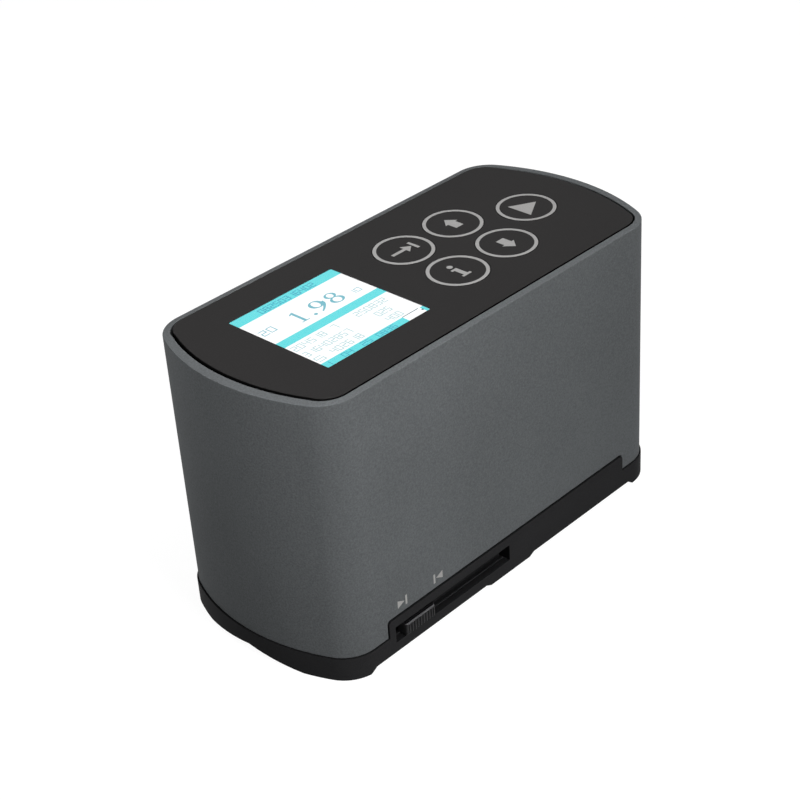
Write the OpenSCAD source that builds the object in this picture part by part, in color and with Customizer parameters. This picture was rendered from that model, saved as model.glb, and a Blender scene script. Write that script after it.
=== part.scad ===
// Pocket surface roughness tester: an aluminium sleeve standing on a moulded base,
// a flush key and display panel on top, and a motor-driven stylus pickup inside.
// +X runs from the display end to the key end, -Y is the side with the guard slide,
// and Z = 0 is the surface that the feet stand on.

/* [Housing sleeve] */
// Length over the two bulging ends
body_l = 106; // [100:1:116]
// Width across the flat long sides
body_w = 48; // [47:0.5:54]
// Height from the feet to the sleeve's rim
body_h = 63.5; // [62:0.5:72]
// How far each end bulges out past its corners
end_bulge = 6.8; // [5.5:0.1:8]
// Radius of the four upright corners
corner_r = 8; // [6.5:0.5:9]
// Wall of the extruded sleeve
wall = 1.95; // [1.6:0.05:2.2]
// Height of the joint line between the base and the sleeve
seam_h = 5.3; // [5:0.1:6]
// Length of the notch in the sleeve's near side
notch_l = 75.2; // [74:0.2:76]
// Height of that notch above the joint line
notch_h = 4.1; // [3.8:0.1:4.6]
// Radius of that notch's upper corners
notch_r = 0.9; // [0.5:0.1:1.2]
// Distance of the screw bosses from the ends of the sleeve
boss_end = 12.5; // [12:0.1:13]
// Distance of the screw bosses from the long sides
boss_side = 4.7; // [4.4:0.1:5]
// Radius of the screw bosses
boss_r = 3.2; // [3:0.1:3.4]

/* [Top panel and keys] */
// Thickness of the black top panel
panel_t = 1.6; // [1.4:0.1:2]
// How far the panel stands above the rim
panel_proud = 0.15; // [0.05:0.05:0.3]
// Gap between the panel and the sleeve
panel_gap = 0.3; // [0.1:0.05:0.4]
// Length of the display window
window_l = 27.7; // [26:0.1:28.5]
// Width of the display window
window_w = 27.2; // [26:0.1:28]
// Distance of the window's middle from the display end
window_end = 29.6; // [29:0.1:31]
// Thickness of the clear display window
window_t = 0.6; // [0.5:0.05:0.8]
// Diameter of a key
key_d = 13.2; // [12.4:0.1:13.4]
// Distance between neighbouring keys along the body
key_pitch_x = 15.05; // [15:0.05:15.6]
// Distance between the two key rows
key_pitch_y = 14.8; // [14.8:0.1:16]
// Distance of the start key from the key end
key_end = 17.5; // [17.1:0.1:17.9]
// How far a key travels
key_travel = 0.25; // [0.15:0.05:0.3]

/* [Circuit board and battery] */
// Thickness of the circuit board
board_t = 1.6; // [1.2:0.1:1.8]
// Free space between the circuit board and the sleeve
board_gap = 1.05; // [0.8:0.05:2]
// Length of the battery pack
battery_l = 50; // [44:1:56]
// Free space between the battery clamp and the plugs above it
battery_gap = 1.3; // [1:0.1:2]

/* [Base] */
// How far the base stands out past the sleeve
base_proud = 0.35; // [0.2:0.05:0.6]
// Top of the base's floor
floor_h = 4; // [3.8:0.1:4.2]
// Height of the relief between the end feet
relief_h = 1.1; // [0.8:0.1:1.4]
// Free length between the end feet
feet_gap = 81.2; // [79:0.2:83]
// Length of the middle pads under the long sides
pad_l = 12.4; // [10:0.2:18]
// How far the ends of the feet and of the pads slope
foot_slope = 1.5; // [1:0.1:2]
// Height at which the middle pads stop above the ground
pad_clear = 0.4; // [0.2:0.1:0.6]
// Half width of the shallow vee under the base
vee_half = 13.5; // [12:0.5:14]
// Depth of that vee
vee_depth = 1.9; // [1.6:0.1:2]
// Length of the slot for the guard knob
slot_l = 34.6; // [34:0.1:35]
// Lower edge of that slot
slot_z = 3.4; // [3.2:0.1:3.6]
// Height of that slot
slot_h = 3.8; // [3.6:0.1:4]

/* [Stylus guard] */
// Length of the guard knob
knob_l = 8.3; // [8:0.1:9]
// How far the knob stands out of the base
knob_proud = 0.5; // [0.3:0.1:0.8]
// Space left of the knob when the guard is shut
knob_back = 2.7; // [2.6:0.1:2.9]
// Thickness of the guard's shutter
shutter_t = 0.45; // [0.35:0.05:0.5]
// Width of the guard's shutter
shutter_w = 16; // [15:0.5:16.5]
// Length of the stylus window in the base
hatch_l = 20; // [19.5:0.5:21]
// Width of the stylus window in the base
hatch_w = 9.6; // [9.4:0.1:11]
// Diameter of the guard's rail
rail_d = 1.6; // [1.2:0.1:1.8]

/* [Drive unit] */
// Height of the lead screw above the ground
screw_z = 22; // [22:0.1:22.4]
// Diameter of the lead screw
screw_d = 4; // [3.4:0.1:4.2]
// Distance of the guide rods from the middle
rod_y = 10.5; // [10:0.1:11]
// Diameter of the guide rods
rod_d = 3; // [2.5:0.1:3.2]
// Gear module of the gear pair
gear_m = 0.5; // [0.5:0.01:0.52]
// Width of the gears
gear_w = 4; // [3:0.5:4.5]
// Length of the carriage
carriage_l = 14; // [13:0.5:14]
// Thickness of the frame's end plates
plate_t = 3; // [2.5:0.1:3.2]
// Length of the geared motor
motor_l = 32; // [28:1:33]

/* [Pickup] */
// Diameter of the pickup tube
tube_d = 7; // [6.6:0.1:7.2]
// Height of the pickup's axis with the guard shut
pickup_z = 12.5; // [12.4:0.1:12.8]
// Place of the stylus tip along the body
tip_x = -23.8; // [-24.4:0.1:-23.4]
// Height of the stylus tip with the guard shut
tip_z = 7.6; // [7.5:0.1:7.9]
// Diameter of the pickup's pivot pin
pivot_d = 2; // [1.6:0.1:2.2]

/* [Hidden] */
$fn = 64;

// Colours
anodised = [0.29, 0.30, 0.31];
panel_black = [0.12, 0.12, 0.12];
base_black = [0.09, 0.09, 0.10];
steel = [0.70, 0.71, 0.73];
brass = [0.78, 0.62, 0.32];
board_green = [0.10, 0.36, 0.22];

// Clearances
run = 0.05;          // running fit, on the radius
seat = 0.02;         // pressed or pushed fit, on the radius
slide_gap = 0.3;     // free gap between pieces that pass each other
over = 1;            // how far a cut runs past its face
reach = 60;          // longer than any radius of the plan outline

// Plan outline: two arcs for the ends, flat sides and four tangent corners
arc_r = (pow(body_w / 2, 2) + pow(end_bulge, 2)) / (2 * end_bulge);
arc_x = body_l / 2 - arc_r;
corner_y = body_w / 2 - corner_r;
corner_x = arc_x + sqrt(pow(arc_r - corner_r, 2) - pow(corner_y, 2));
corner_dir = [corner_x - arc_x, corner_y] / (arc_r - corner_r);

// Levels
panel_top = body_h + panel_proud;
panel_z = panel_top - panel_t;
notch_top = seam_h + notch_h;
boss_z = 7;                            // joint between the base's screw pads and the bosses
track_z = vee_depth + 0.7;             // floor of the shutter's track
shutter_z = track_z + run;
deck_z = screw_z + 16.5;
deck_t = 2;

// Screw bosses of the sleeve
boss_x = body_l / 2 - boss_end;
boss_y = body_w / 2 - boss_side;

// Top panel, display and keys
skin_t = window_t;                     // panel left over the display's rim
window_x = window_end - body_l / 2;
lcd_l = window_l + 6;
lcd_w = window_w + 4.3;
lcd_t = 2;
lcd_z = panel_top - window_t - lcd_t;
key_flange_t = 0.7;
key_flange_d = key_d + 1.2;
key_stem_d = 4;
switch_t = 1.5;
switch_w = 6.2;
board_z = panel_z - 3.4 - board_t;     // underside of the circuit board
board_top = board_z + board_t;
stem_z = board_top + switch_t + key_travel + run;
key_x = body_l / 2 - key_end - 2 * key_pitch_x; // first key column
key_places = [
    [key_x, key_pitch_y / 2], [key_x, -key_pitch_y / 2],
    [key_x + key_pitch_x, key_pitch_y / 2], [key_x + key_pitch_x, -key_pitch_y / 2],
    [key_x + 2 * key_pitch_x, 0]];
board_l = body_l - 20;                 // narrow part, between the bosses
board_narrow = 2 * (boss_y - boss_r - 1.1);
board_waist = body_l - 40;             // wide part
board_w = body_w - 2 * (wall + board_gap);
post_x = board_waist / 2 - 3;
post_y = board_w / 2 - 2.5;
post_r = 2.1;

// Chips and plugs on the underside of the circuit board
chip_t = 1.4;
processor = [14, 14, chip_t];
processor_x = -24;
driver_chip = [8, 10, chip_t];
driver_chip_x = -4;
plug_h = 4;
plug_l = 6;
battery_plug_y = 3;
motor_plug_w = 5;
motor_plug_y = board_w / 2 - 9;
plug_mid = board_z - 2.2;              // height of the leads where they enter a plug

// Charging socket at the key end
socket_w = 7.8;
socket_h = 4;
socket_l = 9.2;
socket_lip = 0.5;
socket_x = body_l / 2 - 13;
socket_z = board_z - socket_h;

// Battery pack on the drive unit's deck, its clamp and the leads
deck_w = body_w - 2 * wall - 5.1;
clamp_t = 0.8;
clamp_l = 8;
ear_w = 4.4;
battery_w = deck_w - 11;
battery_h = board_z - plug_h - battery_gap - clamp_t - deck_z - deck_t;
battery_end = body_l / 2 - 11;
battery_x = battery_end - battery_l;
battery_mid = deck_z + deck_t + battery_h / 2;
clamp_x = battery_end - 30;
clamp_w = battery_w + 2 * clamp_t;
ear_y = battery_w / 2 + clamp_t + ear_w / 2;
plug_x = battery_end - 9;
lead_d = 1.4;
lead_bend = 2.4;                       // how far the battery lead stands off the pack
battery_lead_y = battery_plug_y + plug_l / 2;
lead_x = clamp_x - 3;
lead_y = deck_w / 2 + 1.35;

// Screws: shank diameter, head diameter, head height
m3 = [2.9, 5.4, 1.9];
m25 = [2.4, 4.4, 1.5];
m2 = [1.9, 3.6, 1.2];

// Pickup's nose and its traverse towards the display end
nose_r = 1.8;                          // half length of the nose, around the stylus
skid_r = 1.6;
stroke = 8;

// Base
lip_gap = 0.15;
lip_t = 1.4;
lip_top = seam_h + 3.4;
side_wall_t = 2;
side_y = -body_w / 2 - base_proud;     // outer face of the raised side wall
slot_x = -notch_l / 2 + 1.8;           // display end of the knob's slot
rail_y = side_y + side_wall_t + 1.3;
rail_z = slot_z + 2;
rail_end = slot_x + slot_l + 3;        // key end of the guard's rail
rail_post_l = 3;
hatch_x = tip_x - stroke - nose_r - 0.7; // display end of the stylus window
relief_x = -1;                         // middle of the relief and of the pads
base_seat = 3.2;                       // seat of the base screws' heads
frame_seat = 2.3;                      // seat of the frame screws' heads

// Guard
knob_x = slot_x + knob_back;
guard_x = knob_x + knob_l / 2;
guard_travel = slot_l - knob_l - knob_back - 0.1;
shutter_x = hatch_x - 0.5;
shutter_l = hatch_l + 2;
ramp_y = -shutter_w / 2;
ramp_t = 1.4;
arm_l = knob_l - 1.4;
knob_ribs = 9;
rib_pitch = (knob_l - 0.6) / knob_ribs;
arm_z = floor_h + 0.15;
arm_t = 2.7;

// Drive unit
front_x = 0;
rear_x = 38;
carriage_x = 14;                       // start of the stroke
leg_y = boss_y - 7.1;
leg_d = 5;
leg_h = 9;
frame_w = 2 * (leg_y + 2.8);
deck_x = battery_x - 4;
deck_l = rear_x + plate_t + 5 - deck_x;
opening_w = 2 * (leg_y - 3);           // free width under the front plate
opening_h = screw_z - 4.5;
gear_gap = 1;
gear_x = rear_x + plate_t + gear_gap;
pinion_teeth = 14;
screw_teeth = 26;
axis_gap = gear_m * (pinion_teeth + screw_teeth) / 2;
motor_z = screw_z + axis_gap;
motor_w = 12;
motor_h = 10;
motor_shaft_d = 2;
motor_screw_y = 4.4;
bush_d = 7;
nut_d = 7;
carriage_h = 7.2;
carriage_w = 28;
fork_in = 4.4;                         // inner face of the fork's cheeks
fork_t = 1.7;
fork_l = 10;

// Pickup
pivot_x = carriage_x + 7;
lug_l = 8;
lug_w = 2 * (fork_in - 0.2);
tube_wall = 0.8;
tube_end = tip_x + nose_r;             // display end of the tube
pin_x = -6;                            // lift pin along the pickup
pin_d = 2;
arm_len = 21;                          // stylus arm, tip to pivot
stylus_d = 1.2;

// Lift ramp of the guard: it lowers the lift pin as the guard opens
drop = tip_z - 0.2;
tilt_slope = drop / (pivot_x - tip_x);
ramp_slope = tilt_slope * (pivot_x - pin_x) / guard_travel;
ramp_high = pickup_z - pin_d / 2 - slide_gap;
ramp_end = pin_x + 2.6;

// Keep everything of the plan but the outer sectors of the two corners at +X
module corner_keep() {
    far = corner_dir * reach;
    polygon([[-over, -reach], [corner_x, -reach], [corner_x, -corner_y],
        [corner_x + far.x, -corner_y - far.y], [corner_x + far.x, corner_y + far.y],
        [corner_x, corner_y], [corner_x, reach], [-over, reach]]);
}

// Half of the plan outline, moved inwards by inset
module half_plan(inset) {
    intersection() {
        translate([-over, -body_w / 2 + inset]) square([body_l, body_w - 2 * inset]);
        translate([arc_x, 0]) circle(arc_r - inset);
        corner_keep();
    }
    for (side = [-1, 1]) translate([corner_x, side * corner_y]) circle(corner_r - inset);
}

// Upright prism on the plan outline between two heights
module prism(inset, z0, z1) {
    translate([0, 0, z0]) linear_extrude(z1 - z0) {
        half_plan(inset);
        mirror([1, 0]) half_plan(inset);
    }
}

// Box given by its lowest corner and its size
module block(x, y, z, size) {
    translate([x, y, z]) cube(size);
}

// Box centred across the body
module mid_block(x, z, size) {
    translate([x, -size.y / 2, z]) cube(size);
}

// Profile in the XZ plane carried across the body from y0 to y1
module across(y0, y1) {
    translate([0, y1, 0]) rotate([90, 0, 0]) linear_extrude(y1 - y0) children();
}

// Profile of the notch, drawn in by gap
module notch_face(gap, z0) {
    half = notch_l / 2 - gap;
    top = notch_top - gap;
    r = notch_r - gap;
    translate([-half, z0]) square([2 * half, top - r - z0]);
    translate([r - half, z0]) square([2 * (half - r), top - z0]);
    for (side = [-1, 1]) translate([side * (half - r), top - r]) circle(r);
}

// Profile with a flat top of length l and sloping ends, from the level z0 to the level z1
module sloped_face(l, z0, z1) {
    far = z0 - over * sign(z1 - z0);
    half = l / 2;
    translate([relief_x, 0]) polygon([[-half - foot_slope, far], [-half - foot_slope, z0], [-half, z1],
        [half, z1], [half + foot_slope, z0], [half + foot_slope, far]]);
}

// Round bar along the body
module bar_x(x, y, z, d, l) {
    translate([x, y, z]) rotate([0, 90, 0]) cylinder(d = d, h = l);
}

// Round bar across the body, centred
module bar_y(x, z, d, l) {
    translate([x, 0, z]) rotate([90, 0, 0]) cylinder(d = d, h = l, center = true);
}

// Children at the four corners of a rectangle
module four(x, y) {
    for (sx = [-1, 1], sy = [-1, 1]) translate([sx * x, sy * y, 0]) children();
}

// Pan-head screw, head down, with its seat at z = 0
module screw_up(size, l) {
    translate([0, 0, -size[2]]) cylinder(d = size[1], h = size[2]);
    cylinder(d = size[0], h = l);
}

// Spur gear on the X axis with straight-flanked teeth and free backlash
module spur_gear(teeth, w, turn = 0) {
    pitch_r = gear_m * teeth / 2;
    root_r = pitch_r - 1.15 * gear_m;
    tip_r = pitch_r + 0.85 * gear_m;
    step = 360 / teeth;
    rotate([0, 90, 0]) rotate(turn) linear_extrude(w) union() {
        circle(root_r);
        for (i = [0 : teeth - 1]) rotate(i * step) polygon([
            [root_r - 0.2, -gear_m * 0.9], [tip_r, -gear_m * 0.28],
            [tip_r, gear_m * 0.28], [root_r - 0.2, gear_m * 0.9]]);
    }
}

module housing_sleeve() color(anodised) difference() {
    union() {
        difference() {
            prism(0, seam_h, body_h);
            prism(wall, seam_h - over, body_h + over);
        }
        four(boss_x, boss_y) translate([0, 0, boss_z]) cylinder(r = boss_r, h = panel_z - boss_z);
    }
    four(boss_x, boss_y) translate([0, 0, boss_z - over])
        cylinder(d = m3[0] + 2 * run, h = panel_z - boss_z + 2 * over);
    across(-body_w / 2 - over, -body_w / 2 + wall) notch_face(0, seam_h - over);
    mid_block(socket_x, socket_z - 0.6, [reach, socket_w + 1.2, socket_h + 1.2]);
}

module top_panel() color(panel_black) difference() {
    union() {
        prism(wall + panel_gap, panel_z, panel_top);
        four(post_x, post_y) translate([0, 0, board_top]) cylinder(r = post_r, h = panel_z - board_top);
    }
    mid_block(window_x - window_l / 2 - seat, panel_z - over,
        [window_l + 2 * seat, window_w + 2 * seat, panel_t + 2 * over]);
    mid_block(window_x - lcd_l / 2 - lip_gap, panel_z - over,
        [lcd_l + 2 * lip_gap, lcd_w + 2 * lip_gap, panel_t - skin_t + over]);
    for (place = key_places) translate([place.x, place.y, panel_z - over])
        cylinder(d = key_d, h = panel_t + 2 * over);
    four(post_x, post_y) translate([0, 0, board_top - over])
        cylinder(d = m2[0] + 2 * run, h = panel_z - board_top + over);
}

module display_window() color([0.8, 0.85, 0.9, 0.4])
    mid_block(window_x - window_l / 2, panel_top - window_t, [window_l, window_w, window_t]);

module lcd_module() color([0.35, 0.85, 0.88])
    mid_block(window_x - lcd_l / 2, lcd_z, [lcd_l, lcd_w, lcd_t]);

module display_gasket() color([0.2, 0.2, 0.2]) difference() {
    mid_block(window_x - lcd_l / 2, board_top, [lcd_l, board_narrow, lcd_z - board_top]);
    mid_block(window_x - lcd_l / 2 + 4, board_top - over,
        [lcd_l - 8, board_narrow - 8, lcd_z - board_top + 2 * over]);
}

module key(i) color(panel_black) translate([key_places[i].x, key_places[i].y, 0]) {
    translate([0, 0, panel_z]) cylinder(d = key_d - 2 * run, h = panel_t);
    translate([0, 0, panel_z - key_flange_t]) cylinder(d = key_flange_d, h = key_flange_t);
    translate([0, 0, stem_z]) cylinder(d = key_stem_d, h = panel_z - stem_z);
}

module key_switches() color(steel) for (place = key_places)
    translate([place.x - switch_w / 2, place.y - switch_w / 2, board_top])
        cube([switch_w, switch_w, switch_t]);

module main_board() color(board_green) difference() {
    union() {
        mid_block(-board_l / 2, board_z, [board_l, board_narrow, board_t]);
        mid_block(-board_waist / 2, board_z, [board_waist, board_w, board_t]);
    }
    four(post_x, post_y) translate([0, 0, board_z - over])
        cylinder(d = m2[0] + 4 * run, h = board_t + 2 * over);
}

module board_chips() color([0.15, 0.15, 0.16]) {
    mid_block(processor_x, board_z - chip_t, processor);
    mid_block(driver_chip_x, board_z - chip_t, driver_chip);
    block(plug_x, battery_plug_y, board_z - plug_h, [plug_l, plug_l, plug_h]);
    block(lead_x - plug_l / 2, motor_plug_y, board_z - plug_h, [plug_l, motor_plug_w, plug_h]);
}

module charge_socket() color(steel) difference() {
    mid_block(socket_x, socket_z, [socket_l, socket_w, socket_h]);
    mid_block(socket_x + 2, socket_z + socket_lip,
        [socket_l, socket_w - 2 * socket_lip, socket_h - 2 * socket_lip]);
}

module board_screws() color(steel) four(post_x, post_y)
    translate([0, 0, board_z]) screw_up(m2, board_t + panel_z - board_top - 0.4);

module battery_pack() color([0.22, 0.35, 0.60])
    mid_block(battery_x, deck_z + deck_t, [battery_l, battery_w, battery_h]);

module battery_clamp() color(steel) difference() {
    union() {
        mid_block(clamp_x, deck_z + deck_t, [clamp_l, clamp_w, battery_h + clamp_t]);
        mid_block(clamp_x, deck_z + deck_t, [clamp_l, clamp_w + 2 * ear_w, clamp_t]);
    }
    mid_block(clamp_x - over, deck_z + deck_t - over, [clamp_l + 2 * over, battery_w, battery_h + over]);
    for (side = [-1, 1]) translate([clamp_x + clamp_l / 2, side * ear_y, deck_z])
        cylinder(d = m2[0] + 4 * run, h = deck_t + 2 * clamp_t);
}

module clamp_screws() color(steel) for (side = [-1, 1])
    translate([clamp_x + clamp_l / 2, side * ear_y, deck_z + deck_t + clamp_t])
        mirror([0, 0, 1]) screw_up(m2, clamp_t + deck_t);

// Insulated wire through a list of points
module lead(points) {
    for (i = [0 : len(points) - 2]) {
        from = points[i];
        step = points[i + 1] - from;
        translate(from) rotate([0, acos(step.z / norm(step)), atan2(step.y, step.x)])
            cylinder(d = lead_d, h = norm(step), $fn = 24);
    }
    for (i = [1 : len(points) - 2]) translate(points[i]) sphere(d = lead_d, $fn = 24);
}

module battery_lead() color([0.70, 0.12, 0.10]) lead([
    [battery_end, battery_lead_y, battery_mid],
    [battery_end + lead_bend, battery_lead_y, battery_mid],
    [battery_end + lead_bend, battery_lead_y, plug_mid],
    [plug_x + plug_l, battery_lead_y, plug_mid]]);

module motor_lead() color([0.70, 0.12, 0.10]) lead([
    [lead_x, motor_w / 2, motor_z], [lead_x, lead_y, motor_z],
    [lead_x, lead_y, plug_mid], [lead_x, motor_plug_y + motor_plug_w, plug_mid]]);

module base() color(base_black) difference() {
    union() {
        difference() {
            union() {
                prism(-base_proud, 0, seam_h);
                difference() {
                    prism(wall + lip_gap, floor_h, lip_top);
                    block(slot_x - 1, side_y - over, floor_h, [rail_end - slot_x + 3, 6, reach]);
                }
                intersection() {
                    prism(-base_proud, floor_h, notch_top - lip_gap);
                    across(side_y - over, side_y + side_wall_t) notch_face(lip_gap, floor_h);
                }
            }
            difference() {
                prism(wall + lip_gap + lip_t, floor_h, body_h);
                block(-reach, side_y, floor_h - over, [2 * reach, side_wall_t, reach]);
            }
            four(boss_x, boss_y) translate([0, 0, boss_z]) cylinder(r = boss_r + lip_gap, h = reach);
            block(slot_x, side_y + side_wall_t, floor_h, [slot_l, 4, reach]);
        }
        intersection() {
            prism(wall + lip_gap, floor_h - over, boss_z);
            four(boss_x, boss_y) translate([0, 0, floor_h - over]) cylinder(r = boss_r, h = boss_z);
        }
        block(rail_end - rail_post_l, side_y + over, floor_h - over,
            [rail_post_l, rail_y - side_y + 1.4 - over, rail_z - floor_h + 1.6 + over]);
    }
    difference() {
        across(-reach, reach) sloped_face(feet_gap, 0, relief_h);
        for (y = [side_y, body_w / 2 - 5]) across(y, y + 5 + base_proud)
            sloped_face(pad_l, relief_h, pad_clear);
    }
    rotate([90, 0, 90]) translate([0, 0, -reach]) linear_extrude(2 * reach)
        polygon([[-vee_half, -over], [-vee_half, 0], [0, vee_depth], [vee_half, 0], [vee_half, -over]]);
    mid_block(shutter_x - knob_back - slide_gap, track_z, [ramp_end + guard_travel - shutter_x
        + knob_back + 2 * slide_gap, shutter_w + 2 * slide_gap, reach]);
    mid_block(hatch_x, -over, [hatch_l, hatch_w, reach]);
    block(slot_x, side_y - over, slot_z, [slot_l, side_wall_t + 2 * over, slot_h]);
    bar_x(slot_x - 3, rail_y, rail_z, rail_d + 2 * seat, rail_end - slot_x + 2.4);
    four(boss_x, boss_y) {
        translate([0, 0, -over]) cylinder(d = m3[0] + 0.5, h = reach);
        translate([0, 0, -over]) cylinder(d = m3[1] + 0.4, h = base_seat + over);
    }
    frame_feet() {
        translate([0, 0, -over]) cylinder(d = m25[0] + 0.4, h = reach);
        translate([0, 0, -over]) cylinder(d = m25[1] + 0.4, h = frame_seat + over);
    }
}

module base_screws() color(steel) four(boss_x, boss_y)
    translate([0, 0, base_seat]) screw_up(m3, 10);

module guard_knob() color(base_black) difference() {
    block(knob_x, side_y - knob_proud, slot_z + 0.25,
        [knob_l, side_wall_t + knob_proud + 0.1, slot_h - 0.5]);
    for (i = [0 : knob_ribs - 1]) block(knob_x + 0.55 + i * rib_pitch, side_y - knob_proud - over,
        slot_z - over, [rib_pitch / 2, over + 0.3, slot_h + 1 - 0.15]);
}

module stylus_guard() color([0.14, 0.14, 0.15]) difference() {
    union() {
        mid_block(shutter_x, shutter_z, [shutter_l, shutter_w, shutter_t]);
        across(ramp_y, ramp_y + ramp_t) polygon([
            [pin_x - guard_travel - 1, shutter_z],
            [pin_x - guard_travel - 1, ramp_high - ramp_slope * (guard_travel + 1)],
            [pin_x + 1, ramp_high + ramp_slope], [ramp_end, ramp_high + ramp_slope],
            [ramp_end, shutter_z]]);
        block(guard_x - arm_l / 2, side_y + side_wall_t + 0.1, arm_z,
            [arm_l, ramp_y + ramp_t - side_y - side_wall_t - 0.1, arm_t]);
    }
    bar_x(guard_x - knob_l, rail_y, rail_z, rail_d + 2 * run, 2 * knob_l);
}

module guard_rail() color(steel)
    bar_x(slot_x - 2.4, rail_y, rail_z, rail_d, rail_end - slot_x + 1.8);

// Children at the four feet of the drive frame
module frame_feet() {
    for (x = [front_x, rear_x], side = [-1, 1])
        translate([x + plate_t / 2, side * leg_y, 0]) children();
}

module drive_frame() color([0.62, 0.63, 0.65]) difference() {
    union() {
        mid_block(front_x, floor_h, [plate_t, frame_w, deck_z - floor_h]);
        mid_block(rear_x, floor_h, [plate_t, frame_w, deck_z - floor_h]);
        mid_block(deck_x, deck_z, [deck_l, frame_w, deck_t]);
        mid_block(clamp_x - 2, deck_z, [clamp_l + 4, deck_w, deck_t]);
        frame_feet() translate([0, 0, floor_h]) cylinder(d = leg_d, h = leg_h);
    }
    mid_block(front_x - 4, floor_h - over, [plate_t + 8, opening_w, opening_h - floor_h + over]);
    for (x = [front_x, rear_x]) {
        bar_x(x - over, 0, screw_z, bush_d + 2 * seat, plate_t + 2 * over);
        for (side = [-1, 1]) bar_x(x - over, side * rod_y, screw_z, rod_d + 2 * seat, plate_t + 2 * over);
    }
    bar_x(rear_x - over, 0, motor_z, motor_shaft_d + 1, plate_t + 2 * over);
    for (side = [-1, 1]) bar_x(rear_x - over, side * motor_screw_y, motor_z, 2 * run + 1.6, plate_t + 2 * over);
    frame_feet() translate([0, 0, floor_h - over]) cylinder(d = m25[0] + 2 * run, h = leg_h);
    for (side = [-1, 1]) translate([clamp_x + clamp_l / 2, side * ear_y, deck_z - over])
        cylinder(d = m2[0] + 2 * run, h = deck_t + 2 * over);
}

module frame_screws() color(steel) frame_feet()
    translate([0, 0, frame_seat]) screw_up(m25, floor_h - frame_seat + 6);

module guide_rods() color(steel) for (side = [-1, 1])
    bar_x(front_x, side * rod_y, screw_z, rod_d, rear_x + plate_t - front_x);

module carriage() color([0.18, 0.18, 0.20]) difference() {
    union() {
        mid_block(carriage_x, screw_z - carriage_h / 2, [carriage_l, carriage_w, carriage_h]);
        for (side = [-1, 1]) block(pivot_x - fork_l / 2, side > 0 ? fork_in : -fork_in - fork_t,
            pickup_z - 3, [fork_l, fork_t, screw_z - pickup_z + 1]);
    }
    bar_x(carriage_x - over, 0, screw_z, nut_d + 2 * seat, carriage_l + 2 * over);
    for (side = [-1, 1])
        bar_x(carriage_x - over, side * rod_y, screw_z, rod_d + 2 * run, carriage_l + 2 * over);
    bar_y(pivot_x, pickup_z, pivot_d + 2 * seat, reach);
}

module drive_nut() color(brass) difference() {
    union() {
        bar_x(carriage_x, 0, screw_z, nut_d, carriage_l);
        bar_x(carriage_x + carriage_l, 0, screw_z, nut_d + 3, 1.5);
    }
    bar_x(carriage_x - over, 0, screw_z, screw_d + 2 * run, carriage_l + 4);
}

module lead_screw() color(steel)
    bar_x(front_x - 1, 0, screw_z, screw_d, gear_x + gear_w - front_x + 1.4);

module screw_bushes() color(brass) for (x = [front_x, rear_x]) difference() {
    bar_x(x, 0, screw_z, bush_d, plate_t);
    bar_x(x - over, 0, screw_z, screw_d + 2 * run, plate_t + 2 * over);
}

module screw_gear() color(brass) difference() {
    translate([gear_x, 0, screw_z]) spur_gear(screw_teeth, gear_w);
    bar_x(gear_x - over, 0, screw_z, screw_d + 2 * seat, gear_w + 2 * over);
}

module motor_gear() color(steel) {
    translate([gear_x, 0, motor_z]) spur_gear(pinion_teeth, gear_w, 180 / pinion_teeth);
    bar_x(rear_x - 6, 0, motor_z, motor_shaft_d, gear_x - rear_x + 6 + gear_w);
}

module drive_motor() color([0.66, 0.67, 0.69]) difference() {
    mid_block(rear_x - motor_l, motor_z - motor_h / 2, [motor_l, motor_w, motor_h]);
    bar_x(rear_x - 7, 0, motor_z, motor_shaft_d + 2 * run, 8);
    for (side = [-1, 1]) bar_x(rear_x - 4, side * motor_screw_y, motor_z, 1.6 + 2 * run, 5);
}

module motor_screws() color(steel) for (side = [-1, 1]) {
    bar_x(rear_x - 3, side * motor_screw_y, motor_z, 1.6, plate_t + 3);
    bar_x(rear_x + plate_t, side * motor_screw_y, motor_z, 2.6, 0.8);
}

module pickup_tube() color(steel) difference() {
    union() {
        bar_x(tube_end, 0, pickup_z, tube_d, pivot_x - tube_end);
        mid_block(pivot_x - lug_l / 2, pickup_z - tube_d / 2, [lug_l, lug_w, tube_d]);
    }
    bar_x(tube_end - over, 0, pickup_z, tube_d - 2 * tube_wall, arm_len + 6);
    bar_y(tip_x + arm_len, pickup_z, 1 + 2 * seat, reach);
    bar_y(pivot_x, pickup_z, pivot_d + 2 * run, reach);
    translate([pin_x, -reach / 2, pickup_z]) rotate([-90, 0, 0]) cylinder(d = pin_d + 2 * seat, h = reach / 2);
}

// Nose of the pickup with a rounded skid around the stylus, which rides on the workpiece
module skid_nose() color(steel) difference() {
    union() {
        bar_x(tip_x - nose_r, 0, pickup_z, tube_d, 2 * nose_r);
        translate([tip_x, 0, tip_z + run + skid_r]) sphere(r = skid_r);
        translate([tip_x, 0, tip_z + run + skid_r]) cylinder(r = skid_r, h = pickup_z - tip_z - skid_r);
    }
    translate([tip_x, 0, tip_z - over]) cylinder(d = stylus_d + 0.6, h = pickup_z - tip_z + 2 * over);
    bar_x(tip_x - 1, 0, pickup_z, stylus_d + 1, nose_r + 2);
}

module stylus_arm() color([0.82, 0.82, 0.84]) difference() {
    union() {
        bar_x(tip_x - stylus_d / 2, 0, pickup_z, stylus_d, arm_len + 2);
        translate([tip_x, 0, tip_z + 1]) cylinder(d = stylus_d - 0.2, h = pickup_z - tip_z - 1);
        translate([tip_x, 0, tip_z]) cylinder(d1 = 0.1, d2 = stylus_d - 0.2, h = 1);
        bar_y(tip_x + arm_len, pickup_z, 2.4, 2);
    }
    bar_y(tip_x + arm_len, pickup_z, 1 + 2 * run, reach);
}

module stylus_pivot() color(steel) bar_y(tip_x + arm_len, pickup_z, 1, tube_d - 0.4);

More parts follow.
